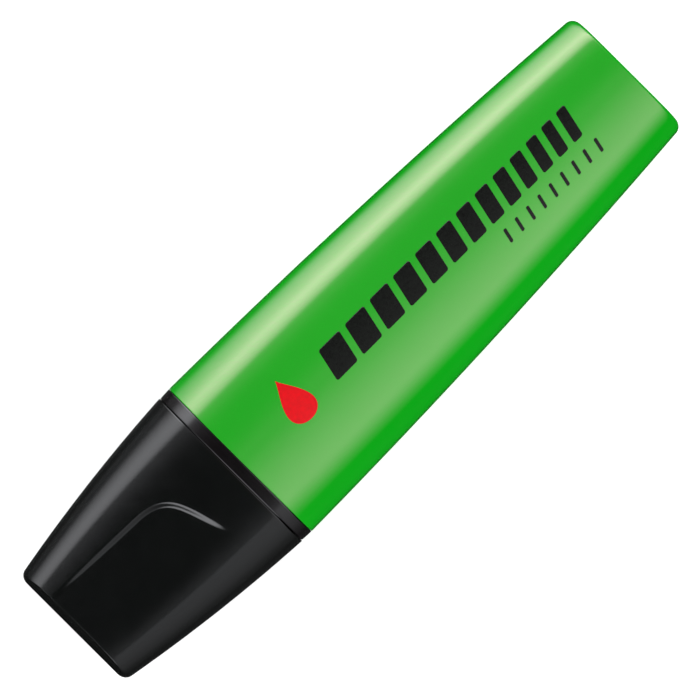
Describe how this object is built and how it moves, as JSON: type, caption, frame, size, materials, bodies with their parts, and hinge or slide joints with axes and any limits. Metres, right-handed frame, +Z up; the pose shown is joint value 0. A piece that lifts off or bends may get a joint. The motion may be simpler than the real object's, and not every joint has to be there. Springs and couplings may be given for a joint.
{
  "type": "capped highlighter",
  "caption": "Flat wedge-shaped highlighter with a green barrel, a chisel nib fed by a fibre reservoir, and a black pull-off cap that seals the nib.",
  "frame": {"origin": "on the resting surface, under the middle of the pen lying on a broad face with its cap on", "axes": "+X along the pen from the cap's end to the tail, +Y across its width, +Z up through its thickness"},
  "size_m": [0.105, 0.027, 0.017],
  "materials": {
    "barrel_green": "moulded, semi-gloss bright green",
    "front_black": "moulded, satin black",
    "cap_black": "moulded, satin black",
    "liner_black": "soft matte black",
    "nib_felt": "bonded fibre soaked in bright green ink",
    "inked_fibre": "fibre bundle soaked in green ink",
    "clear_film": "thin clear film",
    "clear_tube": "clear extruded tube"
  },
  "bodies": {
    "pen": {"barrel": "barrel_green", "front_section": "front_black", "nib": "nib_felt", "ink_reservoir": "inked_fibre", "reservoir_wrap": "clear_film", "breather_tube": "clear_tube"},
    "cap": {"cap": "cap_black", "inner_cap": "liner_black"}
  },
  "joints": [
    {"name": "cap_pull", "type": "slide", "parent": "pen", "child": "cap", "axis": [-1, 0, 0], "range_m": [0, 0.04]}
  ]
}
